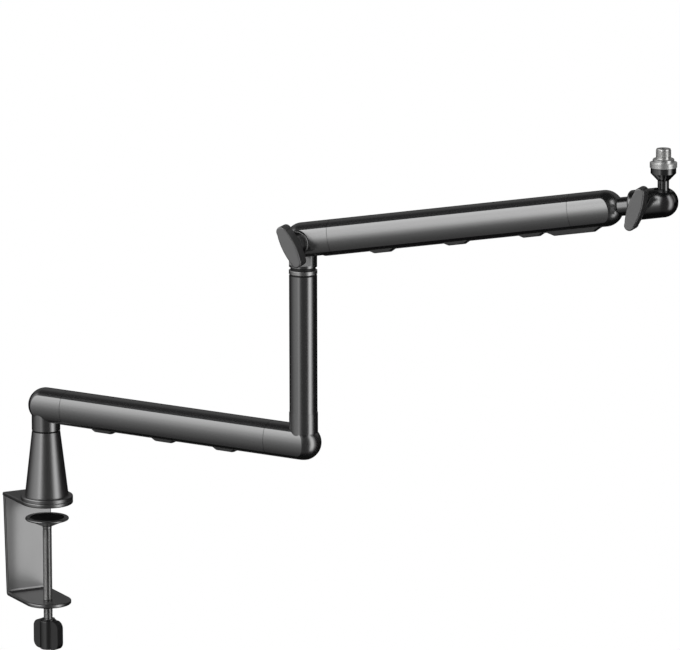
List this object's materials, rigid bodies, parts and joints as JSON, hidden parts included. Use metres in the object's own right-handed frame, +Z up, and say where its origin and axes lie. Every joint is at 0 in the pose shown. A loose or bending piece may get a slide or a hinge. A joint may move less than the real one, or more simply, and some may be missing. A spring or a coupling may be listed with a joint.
{
  "type": "microphone boom arm",
  "caption": "Low desk boom arm for a microphone: C-clamp with tapered post, level lower arm, upright riser, tilting upper arm and a ball head with a threaded mount.",
  "frame": {"origin": "on the post axis, at the face of the upper jaw that rests on the desk top", "axes": "+Z up along the post and the microphone thread, -Y out of the open side of the clamp, +X to the right as seen from the open side"},
  "size_m": [0.4731, 0.6601, 0.6147],
  "materials": {
    "bracket_black": "satin black powder coat on steel",
    "cast_black": "satin black coat on cast aluminium",
    "tube_black": "satin black anodised aluminium",
    "stud_black": "gloss black coat on turned aluminium",
    "clip_black": "moulded matte black plastic",
    "knob_black": "moulded satin black plastic",
    "washer_black": "black acetal",
    "rubber_black": "matte black rubber",
    "screw_steel": "bright turned steel",
    "bright_ring": "bright plated ring",
    "thread_chrome": "polished plated thread",
    "bush_brass": "plain turned brass"
  },
  "bodies": {
    "base": {"clamp_bracket": "bracket_black", "desk_pad": "rubber_black", "base_flange": "bracket_black", "base_post": "bracket_black", "post_bushes": "bush_brass", "post_screws": "screw_steel"},
    "press": {"pressure_disc": "bracket_black", "disc_pad": "rubber_black"},
    "screw": {"clamp_screw": "screw_steel", "screw_clip": "screw_steel", "clamp_knob": "knob_black"},
    "lower_arm": {"thrust_washer": "washer_black", "base_neck": "cast_black", "base_spindle": "screw_steel", "retaining_washer": "screw_steel", "retaining_screw": "screw_steel", "lower_rear_end": "cast_black", "lower_arm_tube": "tube_black", "lower_front_end": "cast_black", "lower_cable_clips": "clip_black", "riser_foot": "cast_black", "riser_screw": "screw_steel", "riser_tube": "tube_black", "riser_bush": "washer_black", "riser_ring": "bright_ring", "groove_washer": "washer_black"},
    "yoke": {"yoke": "cast_black", "yoke_spindle": "screw_steel", "yoke_clip": "screw_steel"},
    "upper_arm": {"upper_rear_end": "cast_black", "upper_arm_tube": "tube_black", "upper_front_end": "cast_black", "upper_cable_clips": "clip_black", "cable_guard": "clip_black", "friction_washers": "washer_black", "hinge_boss": "cast_black", "hinge_cap": "cast_black", "hinge_bolt": "screw_steel"},
    "elbow_knob": {"elbow_knob": "knob_black", "elbow_knob_insert": "bush_brass"},
    "head": {"head_neck": "cast_black", "neck_clip": "screw_steel", "ball_housing": "cast_black", "ball_seat": "washer_black"},
    "lock_knob": {"lock_knob": "knob_black", "lock_screw": "screw_steel"},
    "stud": {"ball_stud": "stud_black"},
    "mic_mount": {"thread_flange": "bright_ring", "thread_adapter": "thread_chrome"}
  },
  "joints": [
    {"name": "clamp_travel", "type": "slide", "parent": "base", "child": "press", "axis": [0, 0, 1], "range_m": [-0.0822, 0.0154]},
    {"name": "screw_spin", "type": "hinge", "parent": "press", "child": "screw", "pos_m": [0, 0, -0.1], "axis": [0, 0, 1], "range_deg": [-19738, 3706]},
    {"name": "base_swivel", "type": "hinge", "parent": "base", "child": "lower_arm", "pos_m": [0, 0, 0.0805], "axis": [0, 0, 1], "continuous": true},
    {"name": "yoke_swivel", "type": "hinge", "parent": "lower_arm", "child": "yoke", "pos_m": [0.16496, -0.29157, 0.296], "axis": [0, 0, 1], "continuous": true},
    {"name": "arm_tilt", "type": "hinge", "parent": "yoke", "child": "upper_arm", "pos_m": [0.16496, -0.29157, 0.3274], "axis": [-0.7501, -0.6613, 0], "range_deg": [-33, 28]},
    {"name": "elbow_knob_turn", "type": "hinge", "parent": "upper_arm", "child": "elbow_knob", "pos_m": [0.14246, -0.31141, 0.3274], "axis": [0.7501, 0.6613, 0], "range_deg": [0, 360]},
    {"name": "head_turn", "type": "hinge", "parent": "upper_arm", "child": "head", "pos_m": [0.38725, -0.5437, 0.38486], "axis": [0.6519, -0.7394, 0.1685], "continuous": true},
    {"name": "lock_knob_turn", "type": "hinge", "parent": "head", "child": "lock_knob", "pos_m": [0.41514, -0.57535, 0.39207], "axis": [0.7501, 0.6613, 0], "range_deg": [0, 360]},
    {"name": "ball_tilt", "type": "hinge", "parent": "head", "child": "stud", "pos_m": [0.42877, -0.5908, 0.39559], "axis": [0.7501, 0.6613, 0], "range_deg": [-8, 75]},
    {"name": "mount_spin", "type": "hinge", "parent": "stud", "child": "mic_mount", "pos_m": [0.42877, -0.5908, 0.43179], "axis": [0, 0, 1], "continuous": true}
  ],
  "couplings": [
    {"joint": "screw_spin", "follows": "clamp_travel", "rad_per_m": 4188.8}
  ]
}
